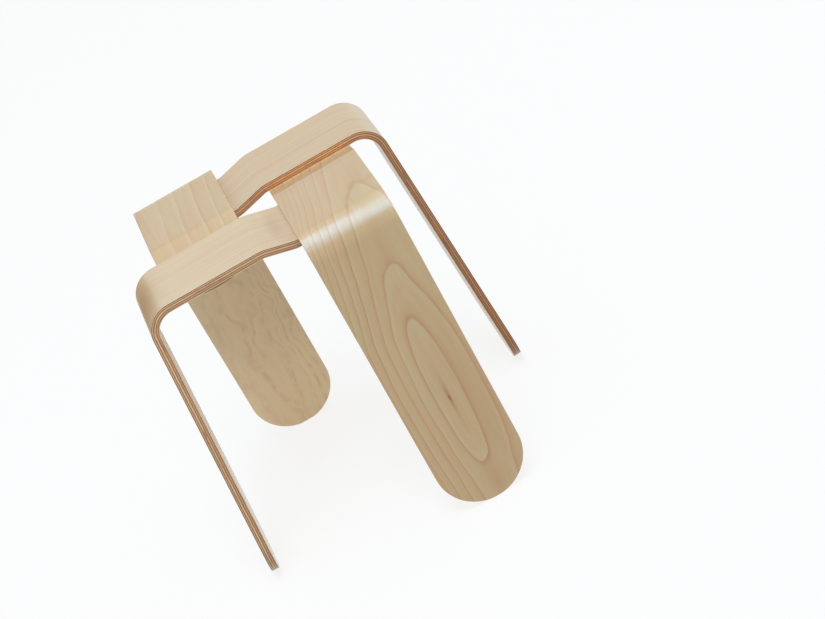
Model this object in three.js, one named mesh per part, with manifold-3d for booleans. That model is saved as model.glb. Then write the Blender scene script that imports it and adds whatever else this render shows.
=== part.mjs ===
// Stacking stool made of four identical bent plywood members, woven like a pinwheel round a square hand hole.
// Each member is a seat slat and a leg in one: its inner end (the tail) dips under the next member, and
// screws driven up through the tail hold the two together.
// Millimetres, +Z up. The origin is on the floor, under the middle of the hand hole.

import * as THREE from "three";
import { mergeVertices } from "three/addons/utils/BufferGeometryUtils.js";
import Module from "manifold-3d";

const wasm = await Module();
wasm.setup();

// Sizes of a member
const seatHeight = 450;
const boardThickness = 11.5;
const memberWidth = 125;
const handHoleWidth = 55;
const cornerReach = 196.5; // from the stool's middle to where seat top and outer leg face would meet
const bendInnerRadius = 28;
const legSplay = THREE.MathUtils.degToRad(4.2);
const footRoundDepth = 65; // the foot's round end, measured along the leg
const footTrim = 0.3; // taken off the foot's tip, level with the floor
const tailReach = 135; // from the stool's middle to the tip of the tail
const tailRoundDepth = 65; // the tail's round end, measured along the tail
const joggleRadius = 45; // on the outer side of each of the dip's two bends
const joggleInset = 0.5; // flat left at each end of the dip, clear of the neighbours' edges

// Sizes of a screw, and its place in the tail
const screwLength = 20;
const screwShankRadius = 1.8;
const screwHeadRadius = 3.8;
const screwHeadRim = 0.4;
const screwPointLength = 4;
const screwPointRadius = 0.3;
const screwHeadSink = 0.3;
const driveSlotLength = 4.2;
const driveSlotWidth = 0.9;
const driveDepth = 1.4;
const screwFromHole = 30; // from the hand hole's edge line to the first pair
const screwFromTip = 32.5; // from the tail's tip to the second pair
const screwSideInset = 26; // from the member's long edges

// Fits and cutting
const fitGap = 0.3;
const cutOverrun = 5;
const mergeTolerance = 0.0003;

// Steps of the round stretches
const bendSteps = 14;
const endSteps = 28;
const screwSides = 14;

const members = ["front", "right", "back", "left"];
const quarterTurn = Math.PI / 2;

const plywood = { color: 0xd8c6a2, roughness: 0.55, metalness: 0 };
const zincPlatedSteel = { color: 0xc4c6c4, roughness: 0.35, metalness: 1 };

const holeEdge = handHoleWidth / 2;
const memberMiddle = holeEdge + memberWidth / 2;
const bendOuterRadius = bendInnerRadius + boardThickness;
const bendTurn = quarterTurn - legSplay;
const bendStart = cornerReach - bendOuterRadius * Math.tan(bendTurn / 2);
const seatUnderside = seatHeight - boardThickness;
const tailUnderside = seatUnderside - boardThickness;
const screwHeadFace = tailUnderside + screwHeadSink;

// A closed geometry as a solid that can be cut
function solidOf(geometry) {
  const bare = new THREE.BufferGeometry();
  bare.setAttribute("position", geometry.getAttribute("position"));
  bare.setIndex(geometry.getIndex());
  const merged = mergeVertices(bare, mergeTolerance);
  const mesh = new wasm.Mesh({
    numProp: 3,
    vertProperties: merged.getAttribute("position").array,
    triVerts: new Uint32Array(merged.getIndex().array),
  });
  return new wasm.Manifold(mesh);
}

// A solid back as a geometry
function geometryOf(solid) {
  const mesh = solid.getMesh();
  const geometry = new THREE.BufferGeometry();
  geometry.setAttribute("position", new THREE.BufferAttribute(mesh.vertProperties, 3));
  geometry.setIndex(new THREE.BufferAttribute(mesh.triVerts, 1));
  geometry.computeVertexNormals();
  return geometry;
}

// Slope of the dip's straight run: the common tangent that crosses between its two bends.
// Both bends have one radius on the board's middle line, and the dip is one board thickness deep.
function joggleSlope() {
  const span = 2 * (holeEdge - joggleInset);
  const bothRadii = 2 * joggleRadius - boardThickness;
  const centreDrop = bothRadii - boardThickness;
  return Math.asin(bothRadii / Math.hypot(span, centreDrop)) - Math.atan2(centreDrop, span);
}

// Side view of a member: x runs outward from the stool's middle, y up.
// It starts at the tail's tip, follows the lower face to the foot and comes back along the upper face.
function sideView() {
  const slope = joggleSlope();
  const dipStart = -(holeEdge - joggleInset);
  const dipEnd = holeEdge - joggleInset;
  const tightRadius = joggleRadius - boardThickness;
  const bendCentre = seatHeight - bendOuterRadius;
  const outerX = bendStart + bendOuterRadius * Math.sin(bendTurn);
  const outerY = bendCentre + bendOuterRadius * Math.cos(bendTurn);
  const innerX = bendStart + bendInnerRadius * Math.sin(bendTurn);
  const innerY = bendCentre + bendInnerRadius * Math.cos(bendTurn);
  const footDrop = outerY + footTrim;
  const footRun = footDrop * Math.tan(legSplay);
  const up = quarterTurn;
  const view = new THREE.Shape();
  view.moveTo(-tailReach, tailUnderside);
  view.lineTo(dipStart, tailUnderside);
  view.absarc(dipStart, tailUnderside + joggleRadius, joggleRadius, -up, slope - up, false);
  view.absarc(dipEnd, seatUnderside - tightRadius, tightRadius, up + slope, up, true);
  view.absarc(bendStart, bendCentre, bendInnerRadius, up, up - bendTurn, true);
  view.lineTo(innerX + footRun, innerY - footDrop);
  view.lineTo(outerX + footRun, outerY - footDrop);
  view.absarc(bendStart, bendCentre, bendOuterRadius, up - bendTurn, up, false);
  view.absarc(dipEnd, seatHeight - joggleRadius, joggleRadius, up, up + slope, false);
  view.absarc(dipStart, seatUnderside + tightRadius, tightRadius, slope - up, -up, true);
  view.lineTo(-tailReach, seatUnderside);
  view.closePath();
  return view;
}

// What is cut away round a member's end: a block with an elliptical arch in its near side.
// In its own frame x runs across the member, y towards the tip, z through the thickness.
function endCutter(roundDepth) {
  const side = memberWidth / 2 + cutOverrun;
  const far = roundDepth + cutOverrun;
  const outline = new THREE.Shape();
  outline.moveTo(-side, 0);
  outline.lineTo(-memberWidth / 2, 0);
  outline.absellipse(0, 0, memberWidth / 2, roundDepth, Math.PI, 0, true);
  outline.lineTo(side, 0);
  outline.lineTo(side, far);
  outline.lineTo(-side, far);
  outline.closePath();
  const depth = boardThickness + 2 * cutOverrun;
  const block = new THREE.ExtrudeGeometry(outline, { depth, bevelEnabled: false, curveSegments: endSteps });
  block.translate(0, 0, -depth / 2);
  return block;
}

// Turns a geometry so that its x, y and z run along the three given directions, from the given origin
function place(geometry, across, along, through, origin) {
  const frame = new THREE.Matrix4().makeBasis(across, along, through);
  frame.setPosition(origin);
  return geometry.applyMatrix4(frame);
}

// The front member before its screw holes, in the stool's frame: its leg stands at -Y
function memberBlank() {
  const leftward = new THREE.Vector3(-1, 0, 0);
  const rightward = new THREE.Vector3(1, 0, 0);
  const forward = new THREE.Vector3(0, -1, 0);
  const backward = new THREE.Vector3(0, 1, 0);
  const upward = new THREE.Vector3(0, 0, 1);
  const depth = memberWidth;
  const board = new THREE.ExtrudeGeometry(sideView(), { depth, bevelEnabled: false, curveSegments: bendSteps });
  place(board, forward, upward, leftward, new THREE.Vector3(holeEdge + memberWidth, 0, 0));

  const tailMiddle = (tailUnderside + seatUnderside) / 2;
  const tailArch = new THREE.Vector3(memberMiddle, tailReach - tailRoundDepth, tailMiddle);
  const tailCut = place(endCutter(tailRoundDepth), rightward, backward, upward, tailArch);

  const downLeg = new THREE.Vector3(0, -Math.sin(legSplay), -Math.cos(legSplay));
  const outOfLeg = new THREE.Vector3(0, -Math.cos(legSplay), Math.sin(legSplay));
  const footArch = new THREE.Vector3(memberMiddle, -cornerReach, seatHeight);
  const outerFaceLength = (seatHeight + footTrim) / Math.cos(legSplay);
  footArch.addScaledVector(downLeg, outerFaceLength - footRoundDepth);
  footArch.addScaledVector(outOfLeg, -boardThickness / 2);
  const footCut = place(endCutter(footRoundDepth), leftward, downLeg, outOfLeg, footArch);

  const floorBlock = new THREE.BoxGeometry(memberWidth + 2 * cutOverrun, 2 * cornerReach, cutOverrun);
  floorBlock.translate(memberMiddle, -cornerReach, -cutOverrun / 2);
  return solidOf(board).subtract(solidOf(tailCut)).subtract(solidOf(footCut)).subtract(solidOf(floorBlock));
}

// Centres of the four screws of the front member's tail, seen from above
function screwPlaces() {
  const places = [];
  for (const y of [holeEdge + screwFromHole, tailReach - screwFromTip]) {
    for (const side of [-1, 1]) {
      const x = memberMiddle + side * (memberWidth / 2 - screwSideInset);
      places.push(new THREE.Vector2(x, y));
    }
  }
  return places;
}

// A solid of revolution standing upright, from radius and height pairs given from the bottom up
function turned(profile) {
  const points = profile.map(([radius, height]) => new THREE.Vector2(radius, height));
  const shape = new THREE.LatheGeometry(points, screwSides);
  shape.rotateX(quarterTurn);
  return solidOf(shape);
}

// A countersunk screw, head down, with its head's face at height 0
function screwSolid() {
  const coneTop = screwHeadRim + screwHeadRadius - screwShankRadius;
  const screw = turned([
    [0, 0],
    [screwHeadRadius, 0],
    [screwHeadRadius, screwHeadRim],
    [screwShankRadius, coneTop],
    [screwShankRadius, screwLength - screwPointLength],
    [screwPointRadius, screwLength],
    [0, screwLength],
  ]);
  const slot = new THREE.BoxGeometry(driveSlotLength, driveSlotWidth, 2 * driveDepth);
  const crossSlot = slot.clone().rotateZ(quarterTurn);
  return screw.subtract(solidOf(slot)).subtract(solidOf(crossSlot));
}

// The countersunk hole that a screw passes through in the tail, from its head's face at height 0
function clearanceHole() {
  const shankHole = screwShankRadius + fitGap;
  const mouth = screwHeadRadius + fitGap;
  const coneTop = screwHeadRim + mouth - shankHole;
  return turned([
    [0, -cutOverrun],
    [mouth, -cutOverrun],
    [mouth, screwHeadRim + fitGap],
    [shankHole, coneTop + fitGap],
    [shankHole, boardThickness + cutOverrun],
    [0, boardThickness + cutOverrun],
  ]);
}

// The blind hole that the screw's point ends in, in the member above
function pilotHole() {
  const shankHole = screwShankRadius + fitGap;
  return turned([
    [0, boardThickness - cutOverrun],
    [shankHole, boardThickness - cutOverrun],
    [shankHole, screwLength - screwPointLength + fitGap],
    [screwPointRadius + fitGap, screwLength + fitGap],
    [0, screwLength + fitGap],
  ]);
}

// The front member: clearance holes in its tail, and pilot holes where the last member's tail passes under it
function memberSolid() {
  let member = memberBlank();
  for (const spot of screwPlaces()) {
    const under = spot.clone().rotateAround(new THREE.Vector2(0, 0), -quarterTurn);
    member = member.subtract(clearanceHole().translate([spot.x, spot.y, screwHeadFace]));
    member = member.subtract(pilotHole().translate([under.x, under.y, screwHeadFace]));
  }
  return member;
}

const stool = new THREE.Group();
const memberGeometry = geometryOf(memberSolid());
const screwGeometry = geometryOf(screwSolid());

members.forEach((side, turn) => {
  const quarter = new THREE.Group();
  quarter.rotation.z = turn * quarterTurn;

  const member = new THREE.Mesh(memberGeometry, new THREE.MeshStandardMaterial(plywood));
  member.name = `${side}_member`;
  quarter.add(member);

  screwPlaces().forEach((spot, index) => {
    const screw = new THREE.Mesh(screwGeometry, new THREE.MeshStandardMaterial(zincPlatedSteel));
    screw.name = `${side}_tail_screw_${index + 1}`;
    screw.position.set(spot.x, spot.y, screwHeadFace);
    quarter.add(screw);
  });

  stool.add(quarter);
});

export default stool;
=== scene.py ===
"""Stacking stool of four bent plywood boards, woven like a pinwheel round a square hand hole.

Each board is seat slat and leg in one. All sizes are metres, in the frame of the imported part:
+Z up, the origin on the floor under the middle of the hand hole, the front leg at -Y.
"""

import math
from collections import namedtuple

import bmesh
import bpy
from mathutils import Matrix, Vector


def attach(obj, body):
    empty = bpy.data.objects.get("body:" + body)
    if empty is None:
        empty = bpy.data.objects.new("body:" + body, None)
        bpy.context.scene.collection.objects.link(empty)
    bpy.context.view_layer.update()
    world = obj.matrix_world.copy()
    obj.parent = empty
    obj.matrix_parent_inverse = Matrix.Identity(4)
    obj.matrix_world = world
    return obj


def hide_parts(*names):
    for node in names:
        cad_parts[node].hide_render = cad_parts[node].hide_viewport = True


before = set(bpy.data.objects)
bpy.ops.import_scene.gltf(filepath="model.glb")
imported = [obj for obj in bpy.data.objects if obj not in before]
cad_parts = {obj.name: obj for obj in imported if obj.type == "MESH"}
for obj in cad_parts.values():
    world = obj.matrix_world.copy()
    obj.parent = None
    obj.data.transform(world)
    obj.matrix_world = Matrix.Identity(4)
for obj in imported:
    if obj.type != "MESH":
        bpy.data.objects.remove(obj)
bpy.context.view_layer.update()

MM = 0.001

# Sizes of a board
SEAT_HEIGHT = 450 * MM
THICKNESS = 11.5 * MM
WIDTH = 125 * MM
HAND_HOLE = 55 * MM
CORNER_REACH = 196.5 * MM
BEND_INNER_RADIUS = 28 * MM
LEG_SPLAY = math.radians(4.2)
FOOT_ROUND = 65 * MM
FOOT_TRIM = 0.3 * MM
CUT_TOLERANCE = 0.001 * MM
TAIL_REACH = 135 * MM
TAIL_ROUND = 65 * MM
DIP_OUTER_RADIUS = 45 * MM
DIP_INSET = 0.5 * MM
EASED_EDGE = 0.7 * MM
FLAT_ZERO = 130 * MM

# Sizes of a screw, and its place in the tail
SCREW_LENGTH = 20 * MM
SHANK_RADIUS = 1.8 * MM
HEAD_RADIUS = 3.8 * MM
HEAD_RIM = 0.4 * MM
POINT_LENGTH = 4 * MM
POINT_RADIUS = 0.3 * MM
HEAD_SINK = 0.3 * MM
SLOT_LENGTH = 4.2 * MM
SLOT_WIDTH = 0.9 * MM
SLOT_DEPTH = 1.4 * MM
SLOT_FLOOR_SHARE = 0.55
HEAD_EASE = 0.1 * MM
SCREW_FROM_HOLE = 30 * MM
SCREW_FROM_TIP = 32.5 * MM
SCREW_FROM_SIDE = 26 * MM
FIT_GAP = 0.3 * MM
OVERRUN = 5 * MM

SIDES = ("front", "right", "back", "left")
QUARTER = math.pi / 2
WHITE = (1, 1, 1, 1)
MATRIX_SIZE = 4

HOLE_EDGE = HAND_HOLE / 2
MIDDLE = HOLE_EDGE + WIDTH / 2
BEND_RADIUS = BEND_INNER_RADIUS + THICKNESS
BEND_TURN = QUARTER - LEG_SPLAY
BEND_START = CORNER_REACH - BEND_RADIUS * math.tan(BEND_TURN / 2)
BEND_CENTRE = SEAT_HEIGHT - BEND_RADIUS
SEAT_UNDERSIDE = SEAT_HEIGHT - THICKNESS
TAIL_UNDERSIDE = SEAT_UNDERSIDE - THICKNESS
DIP_INNER_RADIUS = DIP_OUTER_RADIUS - THICKNESS
DIP_BOTH_RADII = DIP_OUTER_RADIUS + DIP_INNER_RADIUS
DIP_HALF = HOLE_EDGE - DIP_INSET
DIP_RISE = DIP_BOTH_RADII - THICKNESS
DIP_STEEPEST = math.asin(DIP_BOTH_RADII / math.hypot(2 * DIP_HALF, DIP_RISE))
DIP_SLOPE = DIP_STEEPEST - math.atan2(DIP_RISE, 2 * DIP_HALF)
DIP_RUN = (THICKNESS - DIP_BOTH_RADII * (1 - math.cos(DIP_SLOPE))) / math.sin(DIP_SLOPE)

# Steps of the round stretches, and the share of a step that the flat tip of a round end takes
BEND_STEPS = 40
DIP_STEPS = 10
END_STEPS = 26
TIP_STEP = 0.5
SCREW_SEGMENTS = 32
EDGE_SEGMENTS = 3
HEAD_EDGE_SEGMENTS = 2

# Edges sharper than the first angle are eased, and faces closer than the second are shaded as one
EASE_FROM = math.radians(40)
SMOOTH_UP_TO = math.radians(35)
FLAT_FACE_WEIGHT = 100

# A face points up where its normal rises more than this
POINTS_UP = 0.5


def side_point(out, height):
    """A point of the front board's middle plane, from its distance out and its height."""
    return Vector((MIDDLE, -out, height))


# Modelling helpers

def select_only(piece):
    bpy.ops.object.select_all(action="DESELECT")
    piece.select_set(True)
    bpy.context.view_layer.objects.active = piece


def named(name):
    """The object that the last operator made, given its name."""
    piece = bpy.context.object
    piece.name = name
    piece.data.name = name
    return piece


def settle():
    """Moves the active object's place into its mesh."""
    bpy.ops.object.transform_apply(location=True, rotation=True, scale=True)


def apply_modifier(piece, kind, **values):
    select_only(piece)
    modifier = piece.modifiers.new(kind.lower(), kind)
    for key, value in values.items():
        setattr(modifier, key, value)
    bpy.ops.object.modifier_apply(modifier=modifier.name)


def ease_edges(piece, width, segments):
    """Rounds the sharp edges a little."""
    limits = {"limit_method": "ANGLE", "angle_limit": EASE_FROM}
    apply_modifier(piece, "BEVEL", width=width, segments=segments, **limits)


def smooth(piece):
    """Shades round stretches smooth, with the flat faces kept flat up to their eased edges."""
    select_only(piece)
    bpy.ops.object.shade_smooth_by_angle(angle=SMOOTH_UP_TO)
    apply_modifier(piece, "WEIGHTED_NORMAL", keep_sharp=True, weight=FLAT_FACE_WEIGHT)


def extrude(move):
    bpy.ops.mesh.extrude_region_move(TRANSFORM_OT_translate={"value": tuple(move)})


def scale_selected(ratios, centre):
    bpy.ops.transform.resize(value=ratios, center_override=tuple(centre))


def sweep(angle, centre, steps):
    """Sweeps the selected section round an axis that lies across the front board."""
    bpy.ops.mesh.spin(steps=steps, angle=-angle, center=tuple(centre), axis=(1, 0, 0))


def outward_normals():
    bpy.ops.mesh.select_all(action="SELECT")
    bpy.ops.mesh.normals_make_consistent(inside=False)


def copy_of(piece, name, matrix):
    """A copy with a mesh of its own, moved or turned in its mesh."""
    twin = piece.copy()
    twin.data = piece.data.copy()
    twin.data.transform(matrix)
    twin.name = name
    twin.data.name = name
    bpy.context.collection.objects.link(twin)
    return twin


def discard(piece):
    bpy.data.objects.remove(piece, do_unlink=True)


def cut(piece, tool):
    """Takes the tool's shape out of a piece, and discards the tool."""
    apply_modifier(piece, "BOOLEAN", object=tool, operation="DIFFERENCE", solver="EXACT")
    discard(tool)


def turned(quarters):
    """A turn about the stool's middle, by a number of quarters."""
    return Matrix.Rotation(quarters * QUARTER, MATRIX_SIZE, "Z")


# The boards

def round_end_angles():
    """Angles from the tip of a round end to where the board has its full width."""
    step = QUARTER / (END_STEPS + TIP_STEP)
    return [(count + TIP_STEP) * step for count in range(END_STEPS)] + [QUARTER]


def board_blank():
    """The front board, swept from the tip of its tail to its foot, without screw holes."""
    angles = round_end_angles()
    tip = side_point(-TAIL_REACH, SEAT_UNDERSIDE - THICKNESS / 2)
    tip.y -= TAIL_ROUND * (1 - math.cos(angles[0]))
    bpy.ops.object.select_all(action="DESELECT")
    bpy.ops.mesh.primitive_plane_add(size=1, location=tip, rotation=(QUARTER, 0, 0))
    board = named("board_blank")
    board.scale = (WIDTH * math.sin(angles[0]), THICKNESS, 1)
    settle()

    bpy.ops.object.mode_set(mode="EDIT")
    bpy.ops.mesh.select_all(action="SELECT")
    for near, far in zip(angles, angles[1:]):
        extrude((0, -TAIL_ROUND * (math.cos(near) - math.cos(far)), 0))
        scale_selected((math.sin(far) / math.sin(near), 1, 1), side_point(0, SEAT_HEIGHT))
    extrude((0, -(TAIL_REACH - TAIL_ROUND - DIP_HALF), 0))

    sweep(-DIP_SLOPE, side_point(-DIP_HALF, TAIL_UNDERSIDE + DIP_OUTER_RADIUS), DIP_STEPS)
    extrude((0, -DIP_RUN * math.cos(DIP_SLOPE), DIP_RUN * math.sin(DIP_SLOPE)))
    sweep(DIP_SLOPE, side_point(DIP_HALF, SEAT_HEIGHT - DIP_OUTER_RADIUS), DIP_STEPS)
    extrude((0, -(BEND_START - DIP_HALF), 0))
    sweep(BEND_TURN, side_point(BEND_START, BEND_CENTRE), BEND_STEPS)

    down_leg = Vector((0, -math.sin(LEG_SPLAY), -math.cos(LEG_SPLAY)))
    outer_drop = BEND_CENTRE + BEND_RADIUS * math.cos(BEND_TURN) + FOOT_TRIM
    extrude(down_leg * (outer_drop / math.cos(LEG_SPLAY) - FOOT_ROUND))
    for near, far in zip(reversed(angles), reversed(angles[:-1])):
        extrude(down_leg * FOOT_ROUND * (math.cos(far) - math.cos(near)))
        scale_selected((math.sin(far) / math.sin(near), 1, 1), side_point(0, SEAT_HEIGHT))

    outward_normals()
    bpy.ops.object.mode_set(mode="OBJECT")
    ease_edges(board, EASED_EDGE, EDGE_SEGMENTS)

    bpy.ops.object.mode_set(mode="EDIT")
    bpy.ops.mesh.select_all(action="SELECT")
    level = {"plane_co": (0, 0, 0), "plane_no": (0, 0, 1)}
    bpy.ops.mesh.bisect(**level, use_fill=True, clear_inner=True, threshold=CUT_TOLERANCE)
    outward_normals()
    bpy.ops.object.mode_set(mode="OBJECT")
    return board


def screw_spots():
    """Middles of the head faces of the four screws in the front board's tail."""
    rows = (HOLE_EDGE + SCREW_FROM_HOLE, TAIL_REACH - SCREW_FROM_TIP)
    reach = WIDTH / 2 - SCREW_FROM_SIDE
    face = TAIL_UNDERSIDE + HEAD_SINK
    return [Vector((MIDDLE + side * reach, row, face)) for row in rows for side in (-1, 1)]


def turned_solid(name, profile):
    """A solid of revolution on its first ring, from radius and height pairs from the bottom up."""
    bpy.ops.object.select_all(action="DESELECT")
    radius, height = profile[0]
    ring = {"vertices": SCREW_SEGMENTS, "radius": radius, "location": (0, 0, height)}
    bpy.ops.mesh.primitive_circle_add(**ring, fill_type="NGON")
    solid = named(name)
    settle()
    bpy.ops.object.mode_set(mode="EDIT")
    bpy.ops.mesh.select_all(action="SELECT")
    for (near, low), (far, high) in zip(profile, profile[1:]):
        extrude((0, 0, high - low))
        scale_selected((far / near, far / near, 1), (0, 0, high))
    outward_normals()
    bpy.ops.object.mode_set(mode="OBJECT")
    return solid


def hole_cutter():
    """Countersunk clearance hole with the pilot hole above it, from the screw head's face at height 0."""
    shank_hole = SHANK_RADIUS + FIT_GAP
    mouth = HEAD_RADIUS + FIT_GAP
    cone_top = HEAD_RIM + FIT_GAP + mouth - shank_hole
    return turned_solid("hole_cutter", [
        (mouth, -OVERRUN),
        (mouth, HEAD_RIM + FIT_GAP),
        (shank_hole, cone_top),
        (shank_hole, SCREW_LENGTH - POINT_LENGTH + FIT_GAP),
        (POINT_RADIUS + FIT_GAP, SCREW_LENGTH + FIT_GAP),
    ])


def drill(board):
    """Cuts the screw holes of the tail, and the pilot holes over the neighbour's tail."""
    cutter = hole_cutter()
    for spot in screw_spots():
        for quarters in (0, -1):
            place = turned(quarters) @ Matrix.Translation(spot)
            cut(board, copy_of(cutter, "hole_tool", place))
    discard(cutter)


def flat_place(point):
    """Where a point of the front board lay before bending: across it, along it and below its top face.

    Lengths along the board are those of its top face, from FLAT_ZERO behind the stool's middle.
    """
    across = point.x - MIDDLE
    out, height = -point.y, point.z
    along = FLAT_ZERO - DIP_HALF
    if out < -DIP_HALF:
        return (across, FLAT_ZERO + out, SEAT_UNDERSIDE - height)

    low_arc = DIP_INNER_RADIUS * DIP_SLOPE
    high_arc = DIP_OUTER_RADIUS * DIP_SLOPE
    if out < DIP_HALF:
        here = Vector((out, height))
        low_centre = Vector((-DIP_HALF, SEAT_UNDERSIDE + DIP_INNER_RADIUS))
        from_low = here - low_centre
        low_angle = math.atan2(from_low.x, -from_low.y)
        if low_angle < DIP_SLOPE:
            return (across, along + DIP_INNER_RADIUS * low_angle, from_low.length - DIP_INNER_RADIUS)
        from_high = here - Vector((DIP_HALF, SEAT_HEIGHT - DIP_OUTER_RADIUS))
        high_angle = math.atan2(-from_high.x, from_high.y)
        if high_angle < DIP_SLOPE:
            done = along + low_arc + DIP_RUN + DIP_OUTER_RADIUS * (DIP_SLOPE - high_angle)
            return (across, done, DIP_OUTER_RADIUS - from_high.length)
        climb = Vector((math.cos(DIP_SLOPE), math.sin(DIP_SLOPE)))
        inward = Vector((climb.y, -climb.x))
        run = from_low - DIP_INNER_RADIUS * inward
        return (across, along + low_arc + run.dot(climb), run.dot(inward))

    along += low_arc + DIP_RUN + high_arc
    if out < BEND_START:
        return (across, along + out - DIP_HALF, SEAT_HEIGHT - height)

    along += BEND_START - DIP_HALF
    from_bend = Vector((out - BEND_START, height - BEND_CENTRE))
    angle = math.atan2(from_bend.x, from_bend.y)
    if angle < BEND_TURN and from_bend.length < 2 * BEND_RADIUS:
        return (across, along + BEND_RADIUS * angle, BEND_RADIUS - from_bend.length)

    outward = Vector((math.cos(LEG_SPLAY), math.sin(LEG_SPLAY)))
    down = Vector((math.sin(LEG_SPLAY), -math.cos(LEG_SPLAY)))
    along += BEND_RADIUS * BEND_TURN
    return (across, along + from_bend.dot(down), BEND_RADIUS - from_bend.dot(outward))


def record_flat_places(board):
    """Keeps each point's place in the flat board as an attribute, for the grain to follow the bends."""
    places = board.data.attributes.new("flat_board", "FLOAT_VECTOR", "POINT")
    for vertex, place in zip(board.data.vertices, places.data):
        place.vector = flat_place(vertex.co)


def make_boards():
    first = board_blank()
    drill(first)
    record_flat_places(first)
    smooth(first)
    boards = {}
    for quarters, side in enumerate(SIDES):
        board = copy_of(first, f"{side}_board", turned(quarters))
        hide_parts(f"{side}_member")
        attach(board, "root")
        boards[side] = board
    discard(first)
    return boards


# The screws

def recess_cutter(angle):
    """One wing pair of the cross recess, narrowing towards its floor."""
    bpy.ops.object.select_all(action="DESELECT")
    bpy.ops.mesh.primitive_cube_add(size=1, rotation=(0, 0, angle))
    wings = named("recess_cutter")
    wings.scale = (SLOT_LENGTH, SLOT_WIDTH, 2 * SLOT_DEPTH)
    settle()
    bpy.ops.object.mode_set(mode="EDIT")
    bpy.ops.mesh.select_all(action="DESELECT")
    floor_of_recess = bmesh.from_edit_mesh(wings.data)
    for face in floor_of_recess.faces:
        face.select_set(face.normal.z > POINTS_UP)
    floor_of_recess.select_flush(True)
    bmesh.update_edit_mesh(wings.data)
    scale_selected((SLOT_FLOOR_SHARE, SLOT_FLOOR_SHARE, 1), (0, 0, SLOT_DEPTH))
    bpy.ops.object.mode_set(mode="OBJECT")
    return wings


def make_screw():
    """One countersunk screw, head down, with its head's face at height 0."""
    cone_top = HEAD_RIM + HEAD_RADIUS - SHANK_RADIUS
    screw = turned_solid("screw", [
        (HEAD_RADIUS, 0),
        (HEAD_RADIUS, HEAD_RIM),
        (SHANK_RADIUS, cone_top),
        (SHANK_RADIUS, SCREW_LENGTH - POINT_LENGTH),
        (POINT_RADIUS, SCREW_LENGTH),
    ])
    ease_edges(screw, HEAD_EASE, HEAD_EDGE_SEGMENTS)
    for angle in (0, QUARTER):
        cut(screw, recess_cutter(angle))
    smooth(screw)
    return screw


def make_screws():
    first = make_screw()
    screws = []
    for quarters, side in enumerate(SIDES):
        for number, spot in enumerate(screw_spots(), 1):
            place = turned(quarters) @ Matrix.Translation(spot)
            screw = copy_of(first, f"{side}_screw_{number}", place)
            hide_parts(f"{side}_tail_screw_{number}")
            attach(screw, "root")
            screws.append(screw)
    discard(first)
    return screws


# Material helpers

# The screen's curve: a straight toe up to a share of full white, and a power above it
TOP_LEVEL = 255
TOE_END = 0.04045
TOE_SLOPE = 12.92
CURVE_OFFSET = 0.055
CURVE_POWER = 2.4


def linear_share(level):
    """A level of red, green or blue on screen as the shader's linear share."""
    share = level / TOP_LEVEL
    if share <= TOE_END:
        return share / TOE_SLOPE
    return ((share + CURVE_OFFSET) / (1 + CURVE_OFFSET)) ** CURVE_POWER


def tone(red, green, blue):
    """A colour as it looks on screen, 0 to 255, as the shader's linear one."""
    return (linear_share(red), linear_share(green), linear_share(blue), 1)


# Sockets of a Mix node for its two colours and for their mix
MIX_FIRST = 6
MIX_SECOND = 7
MIX_RESULT = 2


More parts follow.
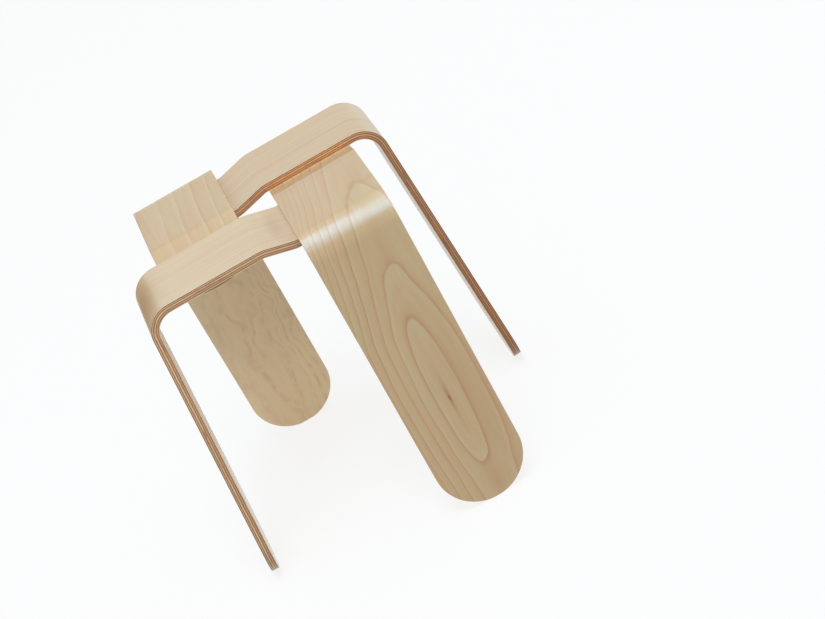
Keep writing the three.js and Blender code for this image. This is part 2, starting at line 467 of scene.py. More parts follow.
class Nodes:
    """Short calls for the nodes of one material."""

    def __init__(self, name):
        self.material = bpy.data.materials.new(name)
        self.material.use_nodes = True
        self.tree = self.material.node_tree
        self.surface = self.tree.nodes["Principled BSDF"]

    def feed(self, socket, value):
        if isinstance(value, bpy.types.NodeSocket):
            self.tree.links.new(value, socket)
        else:
            socket.default_value = value

    def math(self, operation, *values):
        node = self.tree.nodes.new("ShaderNodeMath")
        node.operation = operation
        for socket, value in zip(node.inputs, values):
            self.feed(socket, value)
        return node.outputs[0]

    def add(self, *values):
        total = values[0]
        for value in values[1:]:
            total = self.math("ADD", total, value)
        return total

    def times(self, *values):
        product = values[0]
        for value in values[1:]:
            product = self.math("MULTIPLY", product, value)
        return product

    def either(self, share, near, far):
        """near where share is 0, far where it is 1."""
        return self.math("MULTIPLY_ADD", share, far - near, near)

    def fade(self, value, start, end):
        """0 at start, 1 at end, smooth between and level outside."""
        node = self.tree.nodes.new("ShaderNodeMapRange")
        node.interpolation_type = "SMOOTHSTEP"
        for socket, setting in zip(node.inputs, (value, start, end, 0.0, 1.0)):
            self.feed(socket, setting)
        return node.outputs[0]

    def vector(self, x, y, z):
        node = self.tree.nodes.new("ShaderNodeCombineXYZ")
        for socket, value in zip(node.inputs, (x, y, z)):
            self.feed(socket, value)
        return node.outputs[0]

    def split(self, vector):
        node = self.tree.nodes.new("ShaderNodeSeparateXYZ")
        self.feed(node.inputs[0], vector)
        return tuple(node.outputs)

    def grain(self, place, size, detail=2.0, roughness=0.5):
        """Noise from 0 to 1 whose patches have the given size."""
        node = self.tree.nodes.new("ShaderNodeVectorMath")
        node.operation = "DIVIDE"
        self.feed(node.inputs[0], place)
        self.feed(node.inputs[1], size)
        noise = self.tree.nodes.new("ShaderNodeTexNoise")
        self.feed(noise.inputs["Vector"], node.outputs[0])
        noise.inputs["Scale"].default_value = 1
        noise.inputs["Detail"].default_value = detail
        noise.inputs["Roughness"].default_value = roughness
        return noise.outputs["Fac"]

    def varied(self, *parts):
        """Light that noises vary about 1, from pairs of a noise and its share."""
        light = 1 - sum(share for noise, share in parts) / 2
        for noise, share in parts:
            light = self.add(light, self.times(noise, share))
        return light

    def rest(self, share):
        """What a share leaves of 1."""
        return self.math("SUBTRACT", 1.0, share)

    def length(self, across, along):
        """How far a place lies that is this much across and along."""
        return self.math("SQRT", self.add(self.math("POWER", across, 2), self.math("POWER", along, 2)))

    def sway(self, place, size, reach, detail=1.0):
        """Noise from -reach to reach."""
        return self.math("MULTIPLY_ADD", self.grain(place, size, detail), 2 * reach, -reach)

    def ramp(self, value, stops, interpolation="LINEAR"):
        """stops are (position, colour) pairs; a plain number stands for a grey."""
        node = self.tree.nodes.new("ShaderNodeValToRGB")
        node.color_ramp.interpolation = interpolation
        self.feed(node.inputs[0], value)
        elements = node.color_ramp.elements
        while len(elements) < len(stops):
            elements.new(1.0)
        for element, (position, colour) in zip(elements, stops):
            element.position = position
            element.color = colour if isinstance(colour, tuple) else (colour, colour, colour, 1)
        return node.outputs["Color"]

    def curve(self, value, points):
        """A line through (input, output) points that start at 0 and rise."""
        reach, height = points[-1]
        stops = [(x / reach, y / height) for x, y in points]
        return self.times(self.ramp(self.times(value, 1 / reach), stops), height)

    def mix(self, share, first, second, blend="MIX"):
        node = self.tree.nodes.new("ShaderNodeMix")
        node.data_type = "RGBA"
        node.blend_type = blend
        self.feed(node.inputs[0], share)
        self.feed(node.inputs[MIX_FIRST], first)
        self.feed(node.inputs[MIX_SECOND], second)
        return node.outputs[MIX_RESULT]

    def shade(self, colour, factor):
        """A colour times a number."""
        node = self.tree.nodes.new("ShaderNodeVectorMath")
        node.operation = "SCALE"
        self.feed(node.inputs[0], colour)
        self.feed(node.inputs["Scale"], factor)
        return node.outputs[0]

    def bump(self, height, distance):
        node = self.tree.nodes.new("ShaderNodeBump")
        node.inputs["Distance"].default_value = distance
        self.feed(node.inputs["Height"], height)
        self.feed(self.surface.inputs["Normal"], node.outputs[0])


# Plywood. Lengths in this section are millimetres on the flat board: across it, along it and through it.

BOARD_THROUGH = THICKNESS / MM

# Places along the board: where the bend starts and ends, and where the light's change to the foot does
BEND_FROM, BEND_TO = 290, 340
FOOT_FROM, FOOT_END = 540, 770

# Distance of each growth ring from the heart, towards the hand hole, with even steps past the last
RING_DISTANCES = (17.7, 32.5, 44.3, 57, 66.5, 76, 85, 92, 98, 104)
LAST_RING_STEP = 6.2
RING_COUNT = 60
RING_NUMBERS = [(0, 0)] + [(distance, index + 1) for index, distance in enumerate(RING_DISTANCES)]
RING_NUMBERS.append((RING_DISTANCES[-1] + LAST_RING_STEP * (RING_COUNT - len(RING_DISTANCES)), RING_COUNT))

# Away from the hand hole the rings lie further apart: each distance there, and the one it stands for
OUTER_SIDE = ((0, 0), (19.5, 17.7), (49.5, 32.5), (78, 44.3), (300, 150))

# How far a place along the board counts across it, so that rings end in long tongues
TAILWARD_TONGUES = (
    (0, 0), (46, 5), (69, 8), (92, 11.2), (115, 15.2), (128, 17.9), (140, 20.6), (160, 24.8), (183, 28.5),
    (201, 31), (207, 32.9), (228, 34.3), (262, 35.9), (296, 38.2), (345, 43.8), (434, 48.5), (800, 62),
)
FOOTWARD_TONGUES = (
    (0, 0), (40, 5), (60, 8), (80, 11.5), (95, 14.7), (106, 17.7), (116, 19.6), (150, 22), (800, 70),
)

# How far the tongues drift sideways, the further they are from the heart towards the tail
TONGUE_DRIFT = ((0, 0), (110, 2), (206, 15), (296, 25), (434, 34), (800, 48))

# Sways of the rings: the size of a sway, and how far it reaches
WIDE_SWAY = ((34, 150, 40), 5.0)
NARROW_SWAY = ((9, 60, 9), 0.9)
LENGTHWAYS_SWAY = ((16, 70, 40), 9.0)
WIDE_CURL = ((30, 58, 30), 26.0)
NARROW_CURL = ((18, 26, 30), 3.0)

# Curls are full up to the first place along the board and gone at the second
CURLS_FULL = 600
CURLS_END = 700

# Darkness from one ring's outer side to the inner side of the next, and the pale rim inside each
RING_PROFILE = (
    (0, 1), (0.05, 0.85), (0.12, 0.42), (0.24, 0.2), (0.5, 0.05), (0.96, 0), (0.985, 0.6), (1, 1),
)
RIM_PROFILE = ((0, 0), (0.72, 0), (0.9, 1), (0.97, 1), (1, 0))
RIM_SHARE = 0.3

# A curly ring is soft: it darkens from near the middle between two rings up to the ring itself
HALF_RING = 0.5
SOFT_FROM = 0.1
BREAKS_FROM, BREAKS_TO = 0.36, 0.66
BREAK_DEPTH = 0.65

# Noise in the faces: the size of its patches, its detail and its roughness
CLOUDS = ((45, 260, 60), 2.0)
PATCHES = ((30, 120, 40), 2.0)
CURL_BREAKS = ((9, 16, 9), 2.0)
BANDS = ((5, 80, 20), 2.0)
FIBRES = ((0.7, 42, 0.8), 3.0, 0.6)
PORES = ((0.22, 7, 0.4), 1.0)
FLECKS = ((0.5, 3.2, 0.5), 0.0)

# Noise that follows the rings: its size in rings, along the board and from face to face
SEASONS = ((1.3, 400, 1), 1.0)
STREAKS = ((1 / 3, 120, 1), 2.0)
LINES = ((1 / 6, 160, 1), 2.0)

# What the noises do: where the warm tone sets in, the unevenness of rings, flecks, and shares of light
WARM_FROM, WARM_TO = 1.15, 1.85
PATCHY_LEAST, PATCHY_RANGE = 0.5, 0.9
FLECKS_FROM, FLECKS_TO = 0.73, 0.80
FLECK_SHARE = 0.22
LINE_LIGHT = 0.07
BAND_LIGHT = 0.12
FIBRE_LIGHT = 0.12
PORE_LIGHT = 0.07

# The seat's rings are fainter than the leg's, and the underside is painted paler as painted light, most of
# all near the foot
SEAT_CONTRAST = 0.74
UNDER_PAINTED_LIGHT = 0.6
FOOT_PAINTED_LIGHT = 1.24

# How far apart the noise of the two faces and of the four boards is taken
UNDER_SHIFT = 500
SIDE_SHIFT = 1000

# The dark streak at the heart, in ovals: half width, half length, fade from and to, and darkness
HEART_OVALS = (
    (1.5, 4.5, 1.3, 0.4, 0.6),
    (1.8, 24, 1.0, 0.2, 0.3),
    (4, 70, 1.0, 0.1, 0.13),
)

# The figure of one face: where its heart lies, how far its rings drift sideways, stretch lengthways,
# wander, curl and spread, how dark they are, how much that varies between rings, and the face's painted
# light, a factor on its brightness
Figure = namedtuple("Figure", (
    "heart_across", "heart_along", "drift", "stretch", "wander",
    "curl", "spacing", "contrast", "variety", "light",
))

# An oval patch of another colour on a top face: its middle, its half sizes, and the colour's share there
Patch = namedtuple("Patch", "across along half_width half_length strength")

# Half width of a patch that hardly fades from one side of the board to the other
FULL_WIDTH = 400

# Painted light and shade of the sawn edges: their brightness beside the seat and on the leg, and what their
# colour is multiplied by at the foot
SawnLight = namedtuple("SawnLight", "seat leg foot")
EVEN_LIGHT = SawnLight(1, 1, (1, 1, 1))


def ring_number(n, across, along, place, far, top, under):
    """How many growth rings lie between the heart and this place on a face."""
    wander = n.either(far, top.wander, under.wander)
    up_board = n.math("SUBTRACT", n.either(far, top.heart_along, under.heart_along), along)
    up_board = n.math("MULTIPLY_ADD", n.sway(place, *LENGTHWAYS_SWAY), wander, up_board)
    drift = n.times(n.curve(up_board, TONGUE_DRIFT), n.either(far, top.drift, under.drift))
    off = n.math("SUBTRACT", across, n.either(far, top.heart_across, under.heart_across))
    off = n.math("SUBTRACT", off, drift)
    sideways = n.add(n.sway(place, *WIDE_SWAY), n.sway(place, *NARROW_SWAY))
    off = n.math("MULTIPLY_ADD", sideways, wander, off)
    curls = n.add(n.sway(place, *WIDE_CURL), n.sway(place, *NARROW_CURL))
    curls = n.times(curls, n.fade(along, CURLS_END, CURLS_FULL))
    off = n.math("MULTIPLY_ADD", curls, n.either(far, top.curl, under.curl), off)
    off = n.add(n.curve(off, OUTER_SIDE), n.math("MINIMUM", off, 0))
    up_board = n.math("DIVIDE", up_board, n.either(far, top.stretch, under.stretch))
    down_board = n.times(up_board, -1)
    reach = n.add(n.curve(up_board, TAILWARD_TONGUES), n.curve(down_board, FOOTWARD_TONGUES))
    distance = n.length(off, reach)
    return n.curve(n.math("DIVIDE", distance, n.either(far, top.spacing, under.spacing)), RING_NUMBERS)


def oval(n, across, along, centre_across, centre_along, half_width, half_length):
    """0 at the centre of an oval on the board, 1 on its rim."""
    off = n.times(n.math("SUBTRACT", across, centre_across), 1 / half_width)
    away = n.times(n.math("SUBTRACT", along, centre_along), 1 / half_length)
    return n.length(off, away)


def heart_streak(n, across, along, figure, far):
    """The small dark streak at the heart of a top face, with its faint tails."""
    dark = 0
    for half_width, half_length, fade_from, fade_to, darkness in HEART_OVALS:
        spot = oval(n, across, along, figure.heart_across, figure.heart_along, half_width, half_length)
        dark = n.add(dark, n.times(n.fade(spot, fade_from, fade_to), darkness))
    return n.times(dark, n.rest(far))


def patched(n, across, along, patches, far):
    """Share of another colour in the patches of a top face."""
    share = 0
    for patch in patches:
        spot = oval(n, across, along, patch.across, patch.along, patch.half_width, patch.half_length)
        share = n.add(share, n.times(n.fade(spot, 1.0, 0.0), patch.strength))
    return n.times(share, n.rest(far))


def ring_strength(n, rings, along, place, far, top, under):
    """How strongly the rings show, which differs between rings, from patch to patch and on the seat."""
    each = n.tree.nodes.new("ShaderNodeTexWhiteNoise")
    each.noise_dimensions = "1D"
    nearest = n.math("FLOOR", n.add(rings, HALF_RING))
    n.feed(each.inputs["W"], n.add(nearest, n.times(far, UNDER_SHIFT)))
    variety = n.times(each.outputs["Value"], n.either(far, top.variety, under.variety))
    contrast = n.either(far, top.contrast, under.contrast)
    on_seat = n.either(n.fade(along, BEND_FROM, BEND_TO), SEAT_CONTRAST, 1)
    patchy = n.math("MULTIPLY_ADD", n.grain(place, *PATCHES), PATCHY_RANGE, PATCHY_LEAST)
    return n.times(n.rest(variety), contrast, on_seat, patchy)


def ring_darkness(n, rings, along, place, far, top, under):
    """Darkness of the rings, crisp in a plain figure, soft and broken in a curly one."""
    between = n.math("FRACT", rings)
    curly = n.math("MINIMUM", n.either(far, top.curl, under.curl), 1)
    breaks = n.fade(n.grain(place, *CURL_BREAKS), BREAKS_FROM, BREAKS_TO)
    breaks = n.math("MULTIPLY_ADD", breaks, 2 * BREAK_DEPTH, -BREAK_DEPTH)
    strength = ring_strength(n, rings, along, place, far, top, under)
    strength = n.times(strength, n.math("MULTIPLY_ADD", breaks, curly, 1))
    from_middle = n.math("ABSOLUTE", n.math("SUBTRACT", between, HALF_RING))
    soft = n.times(n.fade(from_middle, SOFT_FROM, HALF_RING), curly)
    crisp = n.times(n.ramp(between, RING_PROFILE), n.rest(curly))
    return n.times(n.add(soft, crisp), strength)


def veneer_base(n, rings, across, along, place, far, tones, stains_and_shade, painted_light_patches):
    """Colour of a face between its rings: clouds, rims, stains and painted shade, the underside painted
    paler, and patches of painted light.
    """
    by_ring = n.vector(rings, along, far)
    clouds = n.add(n.grain(place, *CLOUDS), n.grain(by_ring, *SEASONS), n.grain(by_ring, *STREAKS))
    base = n.mix(n.fade(clouds, WARM_FROM, WARM_TO), tones["pale"], tones["warm"])
    rim = n.ramp(n.math("FRACT", rings), RIM_PROFILE)
    base = n.mix(n.times(rim, RIM_SHARE), base, tones["rim"])
    # Painted light: the underside is painted paler
    base = n.mix(n.times(far, UNDER_PAINTED_LIGHT), base, tones["rim"])
    # Stains, and patches of painted shade at the dips and on the left board's bend
    base = n.mix(patched(n, across, along, stains_and_shade, far), base, tones["stain_and_shade_tone"])
    # Patches of painted light
    return n.mix(patched(n, across, along, painted_light_patches, far), base, tones["painted_light_tone"])


def face_veneer(n, across, along, through, far, top, under, tones, stains_and_shade, painted_light_patches, heart):
    """Colour of the thin pale maple faces, with the fibres and the darkness of the rings."""
    place = n.vector(across, along, through)
    rings = ring_number(n, across, along, place, far, top, under)
    base = veneer_base(n, rings, across, along, place, far, tones, stains_and_shade, painted_light_patches)
    dark = ring_darkness(n, rings, along, place, far, top, under)
    colour = n.mix(dark, base, tones["ring"])
    fibres = n.grain(place, *FIBRES)
    light = n.varied(
        (n.grain(n.vector(rings, along, far), *LINES), LINE_LIGHT),
        (n.grain(place, *BANDS), BAND_LIGHT),
        (fibres, FIBRE_LIGHT),
        (n.grain(place, *PORES), PORE_LIGHT),
    )
    # Painted light: the underside is painted paler still towards the foot
    foot = n.either(n.times(far, n.fade(along, FOOT_FROM, FOOT_END)), 1, FOOT_PAINTED_LIGHT)
    # Each face's light is painted light, a brightness factor for the whole face
    colour = n.shade(colour, n.times(light, n.either(far, top.light, under.light), foot))
    flecks = n.fade(n.grain(place, *FLECKS), FLECKS_FROM, FLECKS_TO)
    colour = n.mix(n.times(flecks, FLECK_SHARE), colour, tones["fleck"])
    if heart:
        colour = n.mix(heart_streak(n, across, along, top, far), colour, tones["knot"])
    return colour, fibres, dark


# Layers of the core from the top face down: where each begins, in millimetres, and its tone
CORE_LAYERS = (
    (0.0, "deep"),
    (1.3, "tan"),
    (2.85, "dark"),
    (3.8, "tan"),
    (4.4, "cream"),
    (5.8, "tan"),
    (6.3, "dark"),
    (7.35, "tan"),
    (8.1, "brown"),
    (8.3, "tan"),
    (8.95, "dark"),
    (9.8, "brown"),
    (10.4, "cream"),
)
GLUE_LINE = 0.1

# The layers' waves, with size, reach and detail, and the sawn edges' noise, with size, detail and roughness
LAYER_WAVES = ((60, 110, 30), 0.22, 2.0)
LAYER_RIPPLES = ((8, 9, 4), 0.08)
SAWN_STREAKS = ((3, 26, 0.45), 3.0, 0.6)
SAWN_SPECKS = ((0.8, 1.3, 0.5), 2.0)
BLOTCHES = ((14, 30, 1.4), 2.0)
STREAK_LIGHT = 0.7
SPECK_LIGHT = 0.4
BLOTCHES_FROM, BLOTCHES_TO = 0.58, 0.68
BLOTCH_SHARE = 0.6


def core(n, across, along, through, tones):
    """Colour of the beech layers that show on the sawn edges, with their streaks."""
    place = n.vector(across, along, through)
    waves = n.sway(place, *LAYER_WAVES)
    ripples = n.sway(place, *LAYER_RIPPLES)
    depth = n.times(n.add(through, waves, ripples), 1 / BOARD_THROUGH)
    stops = []
    for start, kind in CORE_LAYERS:
        if start:
            stops.append(((start - GLUE_LINE / 2) / BOARD_THROUGH, tones["glue"]))
        stops.append(((start + GLUE_LINE / 2) / BOARD_THROUGH, tones[kind]))
    colour = n.ramp(depth, stops, "CONSTANT")
    streaks = n.grain(place, *SAWN_STREAKS)
    light = n.varied((streaks, STREAK_LIGHT), (n.grain(place, *SAWN_SPECKS), SPECK_LIGHT))
    colour = n.shade(colour, light)
    blotches = n.fade(n.grain(place, *BLOTCHES), BLOTCHES_FROM, BLOTCHES_TO)
    colour = n.mix(n.times(blotches, BLOTCH_SHARE), colour, tones["blotch"])
    return colour, streaks


# The face veneer's thickness and how softly it ends, roughness and what adds to it, lacquer and relief
FACE_VENEER = 0.5
VENEER_BLUR = 0.06
FACE_ROUGHNESS = 0.30
FIBRE_ROUGHNESS = 0.10
RING_ROUGHNESS = 0.05
SAWN_ROUGHNESS = 0.16
LACQUER = 0.5
LACQUER_ROUGHNESS = 0.24
FIBRE_RELIEF = 0.5
SAWN_RELIEF = 1.6
RELIEF_HEIGHT = 0.012 * MM


def plywood(side, top, under, tones, stains_and_shade=(), painted_light_patches=(), sawn_light=EVEN_LIGHT, heart=False):
    """Maple-faced beech plywood of one board, with a figure of its own on each face."""
    n = Nodes(f"{side}_plywood")
    flat = n.tree.nodes.new("ShaderNodeAttribute")
    flat.attribute_name = "flat_board"
    across, along, through = n.split(n.shade(flat.outputs["Vector"], 1 / MM))
    shift = SIDE_SHIFT * SIDES.index(side)
    far = n.math("GREATER_THAN", through, BOARD_THROUGH / 2)
    deep = n.add(n.times(far, UNDER_SHIFT), through, shift)
    face, fibres, rings = face_veneer(
        n, across, along, deep, far, top, under, tones, stains_and_shade, painted_light_patches, heart)
    sawn, streaks = core(n, across, n.add(along, shift), through, tones)
    # Painted light and shade on the sawn edges: a brightness beside the seat and on the leg, and a colour
    # multiplied in at the foot
    from_seat = n.either(n.fade(along, BEND_FROM, BEND_TO), sawn_light.seat, sawn_light.leg)
    sawn = n.shade(sawn, from_seat)
    sawn = n.mix(n.fade(along, BEND_TO, FOOT_END), sawn, (*sawn_light.foot, 1), "MULTIPLY")

    from_face = n.math("MINIMUM", through, n.math("SUBTRACT", BOARD_THROUGH, through))
    inside = n.fade(from_face, FACE_VENEER - VENEER_BLUR, FACE_VENEER + VENEER_BLUR)
    n.feed(n.surface.inputs["Base Color"], n.mix(inside, face, sawn))
    roughness = n.add(n.times(fibres, FIBRE_ROUGHNESS), n.times(rings, RING_ROUGHNESS))
    roughness = n.add(roughness, n.times(inside, SAWN_ROUGHNESS), FACE_ROUGHNESS)
    n.feed(n.surface.inputs["Roughness"], roughness)
    n.surface.inputs["Coat Weight"].default_value = LACQUER
    n.surface.inputs["Coat Roughness"].default_value = LACQUER_ROUGHNESS
    relief = n.add(n.times(fibres, FIBRE_RELIEF), n.times(streaks, inside, SAWN_RELIEF))
    n.bump(relief, RELIEF_HEIGHT)
    return n.material


def board_tones(**colours):
    """The tones of one board by name, with those that all boards share."""
    shared = dict(
        glue=(146, 98, 66),
        blotch=(136, 76, 48),
        fleck=(180, 126, 84),
        knot=(146, 92, 52),
        # The stain tone also serves as painted shade
        stain_and_shade_tone=(194, 154, 108),
        # The pale tone of painted light
        painted_light_tone=(238, 211, 162),
    )
    return {name: tone(*colour) for name, colour in {**shared, **colours}.items()}


BOARDS = {
    "front": {
        "top": Figure(
            heart_across=6.4, heart_along=603.5, drift=1.0, stretch=1.0, wander=0.8,
            curl=0, spacing=1.0, contrast=0.66, variety=0.3, light=1,
        ),
        "under": Figure(
            heart_across=90, heart_along=300, drift=1.0, stretch=3.0, wander=1.6,
            curl=0, spacing=1.6, contrast=0.45, variety=0.6, light=1.1,
        ),
        "tones": board_tones(
            pale=(205, 179, 133),
            warm=(206, 171, 127),
            rim=(211, 189, 147),
            ring=(184, 122, 76),
            deep=(112, 70, 42),
            dark=(148, 98, 62),
            brown=(186, 134, 92),
            tan=(218, 172, 122),
            cream=(236, 206, 158),
        ),
        "stains_and_shade": (
            Patch(38, 610, 30, 240, 0.45),
            Patch(10, 742, 26, 36, 0.45),
            Patch(12, 300, 7, 26, 0.5),
            Patch(20, 276, 9, 26, 0.5),
            Patch(32, 252, 14, 24, 0.5),
            Patch(52, 256, 20, 20, 0.4),
            # Painted shade across the board where it dips under its neighbour
            Patch(0, 149, FULL_WIDTH, 26, 0.42),
        ),
        # Painted light where the board dips under its neighbour
        "painted_light_patches": (Patch(0, 110, FULL_WIDTH, 38, 0.4), Patch(0, 104, FULL_WIDTH, 10, 0.45)),
        "heart": True,
    },
    "right": {
        "top": Figure(
            heart_across=116, heart_along=120, drift=0.3, stretch=4.0, wander=0.6,
            curl=0, spacing=2.2, contrast=0.35, variety=0.8, light=1,
        ),
        "under": Figure(
            heart_across=88, heart_along=500, drift=0.6, stretch=2.4, wander=1.4,
            curl=0, spacing=1.5, contrast=0.35, variety=0.5, light=1.0,
        ),
        "tones": board_tones(
            pale=(210, 186, 146),
            warm=(211, 176, 134),
            rim=(213, 192, 152),
            ring=(198, 150, 102),
            deep=(108, 62, 32),
            dark=(140, 84, 48),
            brown=(178, 116, 70),
            tan=(208, 152, 102),
            cream=(216, 170, 120),
        ),
        "stains_and_shade": (
            Patch(-9.5, 345, 6, 190, 0.4),
            Patch(-9.5, 320, 14, 40, 0.2),
        ),
        # Painted light on the bend
        "painted_light_patches": (Patch(0, 324, FULL_WIDTH, 20, 0.38),),
        # Painted light and shade on the sawn edges
        "sawn_light": SawnLight(1.28, 0.93, (0.84, 0.7, 0.5)),
    },
    "back": {
        "top": Figure(
            heart_across=96, heart_along=420, drift=0.3, stretch=5.0, wander=1.0,
            curl=0, spacing=2.2, contrast=0.55, variety=0.7, light=1,
        ),
        # The underside's light is painted light on its shaded inner face
        "under": Figure(
            heart_across=0, heart_along=600, drift=0.3, stretch=1.3, wander=1.3,
            curl=1.3, spacing=1.0, contrast=0.25, variety=0.5, light=1.33,
        ),
        "tones": board_tones(
            pale=(205, 178, 131),
            warm=(207, 171, 126),
            rim=(216, 197, 161),
            ring=(174, 120, 80),
            deep=(112, 70, 42),
            dark=(148, 98, 62),
            brown=(184, 132, 90),
            tan=(216, 170, 120),
            cream=(234, 204, 156),
        ),
    },
    "left": {
        "top": Figure(
            heart_across=116, heart_along=160, drift=0.3, stretch=4.0, wander=0.7,
            curl=0, spacing=2.2, contrast=0.25, variety=0.7, light=1,
        ),
        "under": Figure(
            heart_across=84, heart_along=640, drift=1.0, stretch=2.6, wander=1.5,
            curl=0, spacing=1.5, contrast=0.35, variety=0.5, light=1.1,
        ),
        "tones": board_tones(
            pale=(220, 200, 163),
            warm=(220, 188, 147),
            rim=(224, 204, 166),
            ring=(205, 163, 120),
            deep=(118, 76, 46),
            dark=(150, 100, 64),
            brown=(194, 142, 98),
            tan=(222, 174, 124),
            cream=(236, 206, 158),
        ),
        "stains_and_shade": (
            # Painted shade where the board dips under its neighbour
            Patch(0, 122, 80, 17, 0.52),
            Patch(0, 140, 80, 24, 0.1),
            # Painted shade on the bend
            Patch(0, 318, 90, 46, 0.68),
        ),
        # Painted light and shade on the sawn edges
        "sawn_light": SawnLight(1.0, 1.05, (0.88, 0.88, 0.88)),
    },
}


# Zinc plating: sizes of its clouds and scuffs in millimetres, with their detail
ZINC_CLOUDS = ((1.6, 1.6, 1.6), 3.0)
ZINC_SCUFFS = ((0.12, 0.9, 0.9), 2.0)
ZINC_DEEP = tone(186, 190, 192)
ZINC_PALE = tone(214, 214, 208)
ZINC_ROUGHNESS = 0.18
CLOUD_ROUGHNESS = 0.2
SCUFF_HEIGHT = 0.01 * MM


def zinc_plate():
    """Bright zinc plating, clouded and lightly scuffed."""
    n = Nodes("zinc_plate")
    where = n.tree.nodes.new("ShaderNodeTexCoord").outputs["Object"]
    place = n.shade(where, 1 / MM)
    clouds = n.grain(place, *ZINC_CLOUDS)
    roughness = n.math("MULTIPLY_ADD", clouds, CLOUD_ROUGHNESS, ZINC_ROUGHNESS)
    n.feed(n.surface.inputs["Base Color"], n.mix(clouds, ZINC_DEEP, ZINC_PALE))
    n.feed(n.surface.inputs["Roughness"], roughness)
    n.surface.inputs["Metallic"].default_value = 1
    n.bump(n.grain(place, *ZINC_SCUFFS), SCUFF_HEIGHT)
    return n.material


def dress(piece, material):
    piece.data.materials.clear()
    piece.data.materials.append(material)


for name, board in make_boards().items():
    dress(board, plywood(name, **BOARDS[name]))
zinc = zinc_plate()
for screw in make_screws():
    dress(screw, zinc)


# The setting: camera, light, white room and floor. The lens and its sensor are in millimetres.

CAMERA_PLACE = Vector((-0.0023, -2.9134, 1.7142))
CAMERA_AIM = Vector((0.1185, 0, 0.1875))
CAMERA_ROLL = math.radians(28.84)
CAMERA_LENS = 103.41
SENSOR_WIDTH = 36

KEY_AIM = Vector((0.09, -0.19, 0.44))
KEY_FROM = Vector((0.03, -0.31, 0.95))
KEY_DISTANCE = 9
KEY_SIZE = (2.4, 5.0)
KEY_POWER = 300
KEY_TONE = (0.86, 1.0, 1.08)
STRIP_FROM = Vector((0.03, -0.3, 0.95))
STRIP_DISTANCE = 1.6
STRIP_SIZE = (0.08, 2.0)
STRIP_POWER = 17
STRIP_TONE = (0.35, 0.71, 1.1)
STRIP_TURN = math.radians(6)
SCRIM_PLACE = Vector((0, 1.65, 5.45))
SCRIM_SIZE = (8, 5.1)
SCRIM_POWER = 150
FRONT_FROM = Vector((-0.1, -1.0, 0.78))
FRONT_STRENGTH = 0.35
FRONT_TONE = (0.96, 1.0, 1.14)
FRONT_SPREAD = math.radians(60)
ROOM_FILL = 0.52
CARD_PLACE = Vector((-1.0, 0.9, 0.5))
CARD_SIZE = 1.04
CARD_TONE = tone(168, 128, 92)
CARD_ROUGHNESS = 0.9
FLOOR_SIZE = 40
FLOOR_TONE = 0.6
FLOOR_WHITE_SHARE = 0.82


def make_camera():
    bpy.ops.object.camera_add(location=CAMERA_PLACE)
    camera = bpy.context.object
    level = (CAMERA_AIM - CAMERA_PLACE).to_track_quat("-Z", "Y")
    camera.rotation_mode = "QUATERNION"
    roll = Matrix.Rotation(-CAMERA_ROLL, MATRIX_SIZE, "Z").to_quaternion()
    camera.rotation_quaternion = level @ roll
    camera.data.lens = CAMERA_LENS
    camera.data.sensor_width = SENSOR_WIDTH
    bpy.context.scene.camera = camera


def add_softbox(name, kind, place, source, turn=0):
    """A light that shines from the source direction, turned about that direction."""
    bpy.ops.object.light_add(type=kind, location=place)
    box = bpy.context.object
    box.name = name
    box.rotation_mode = "QUATERNION"
    twist = Matrix.Rotation(turn, MATRIX_SIZE, "Z").to_quaternion()
    box.rotation_quaternion = source.to_track_quat("Z", "Y") @ twist
    return box


def add_panel(name, place, source, size, power, turn=0):
    """A flat light of the given width and length."""
    panel = add_softbox(name, "AREA", place, source, turn)
    panel.data.shape = "RECTANGLE"
    panel.data.size, panel.data.size_y = size
    panel.data.energy = power
    return panel


def make_lights():
    """A big overhead softbox and a wide front one for the light, a strip and a scrim for the gloss."""
    key = add_panel("overhead_softbox", KEY_AIM + KEY_FROM * KEY_DISTANCE, KEY_FROM, KEY_SIZE, KEY_POWER)
    key.data.color = KEY_TONE
    key.visible_glossy = False
    front = add_softbox("front_softbox", "SUN", FRONT_FROM, FRONT_FROM)
    front.data.energy = FRONT_STRENGTH
    front.data.color = FRONT_TONE
    front.data.angle = FRONT_SPREAD
    front.visible_glossy = False

    strip_place = KEY_AIM + STRIP_FROM * STRIP_DISTANCE
    strip = add_panel("strip_softbox", strip_place, STRIP_FROM, STRIP_SIZE, STRIP_POWER, STRIP_TURN)
    strip.data.color = STRIP_TONE
    scrim = add_panel("overhead_scrim", SCRIM_PLACE, Vector((0, 0, 1)), SCRIM_SIZE, SCRIM_POWER)
    for gloss in (strip, scrim):
        gloss.visible_diffuse = False
        gloss.visible_camera = False


def make_dark_card():
    """A dark studio card behind the stool's left side, which only glossy surfaces show."""
    bpy.ops.object.select_all(action="DESELECT")
    bpy.ops.mesh.primitive_plane_add(size=CARD_SIZE, location=CARD_PLACE, rotation=(QUARTER, 0, 0))
    card = named("dark_card")
    settle()
    paint = Nodes("dark_card_paint")
    paint.surface.inputs["Base Color"].default_value = CARD_TONE
    paint.surface.inputs["Roughness"].default_value = CARD_ROUGHNESS
    dress(card, paint.material)
    card.visible_camera = False
    card.visible_diffuse = False
    card.visible_shadow = False


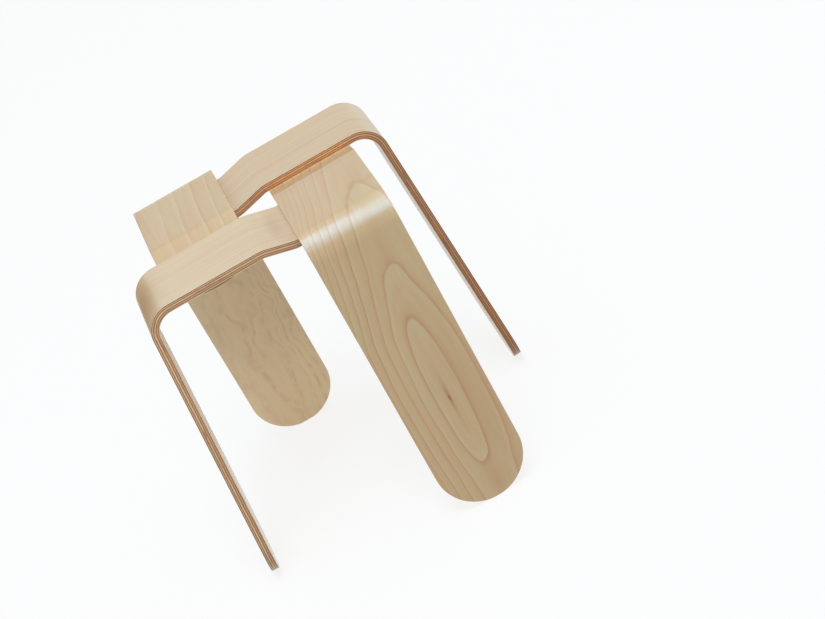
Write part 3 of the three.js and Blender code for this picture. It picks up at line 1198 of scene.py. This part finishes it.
def seen_rays(tree):
    """1 for rays from the camera, a gloss or a glass, 0 for light that is only scattered."""
    rays = tree.nodes.new("ShaderNodeLightPath")
    share = rays.outputs["Is Camera Ray"]
    for name in ("Is Glossy Ray", "Is Transmission Ray"):
        either = tree.nodes.new("ShaderNodeMath")
        either.operation = "MAXIMUM"
        tree.links.new(share, either.inputs[0])
        tree.links.new(rays.outputs[name], either.inputs[1])
        share = either.outputs[0]
    return share


def make_room():
    """A white room that shows as plain white, and fills the shadows more weakly."""
    world = bpy.data.worlds.new("white_room")
    bpy.context.scene.world = world
    world.use_nodes = True
    tree = world.node_tree
    background = tree.nodes["Background"]
    background.inputs["Color"].default_value = WHITE
    strength = tree.nodes.new("ShaderNodeMath")
    strength.operation = "MULTIPLY_ADD"
    strength.inputs[1].default_value = 1 - ROOM_FILL
    strength.inputs[2].default_value = ROOM_FILL
    tree.links.new(seen_rays(tree), strength.inputs[0])
    tree.links.new(strength.outputs[0], background.inputs["Strength"])


def floor_paint():
    """Pale grey to scattered light, near white to the eye, with the shadow kept."""
    material = bpy.data.materials.new("floor_paint")
    material.use_nodes = True
    tree = material.node_tree
    tree.nodes.remove(tree.nodes["Principled BSDF"])
    grey = tree.nodes.new("ShaderNodeBsdfDiffuse")
    white = tree.nodes.new("ShaderNodeBsdfDiffuse")
    glow = tree.nodes.new("ShaderNodeEmission")
    seen = tree.nodes.new("ShaderNodeMixShader")
    paint = tree.nodes.new("ShaderNodeMixShader")
    grey.inputs["Color"].default_value = (FLOOR_TONE, FLOOR_TONE, FLOOR_TONE, 1)
    white.inputs["Color"].default_value = WHITE
    glow.inputs["Color"].default_value = WHITE
    seen.inputs[0].default_value = FLOOR_WHITE_SHARE
    tree.links.new(white.outputs[0], seen.inputs[1])
    tree.links.new(glow.outputs[0], seen.inputs[2])
    tree.links.new(seen_rays(tree), paint.inputs[0])
    tree.links.new(grey.outputs[0], paint.inputs[1])
    tree.links.new(seen.outputs[0], paint.inputs[2])
    tree.links.new(paint.outputs[0], tree.nodes["Material Output"].inputs["Surface"])
    return material


def make_floor():
    bpy.ops.object.select_all(action="DESELECT")
    bpy.ops.mesh.primitive_plane_add(size=FLOOR_SIZE)
    floor = named("floor")
    dress(floor, floor_paint())


make_camera()
make_lights()
make_room()
make_floor()
make_dark_card()
bpy.context.scene.view_settings.view_transform = "Standard"
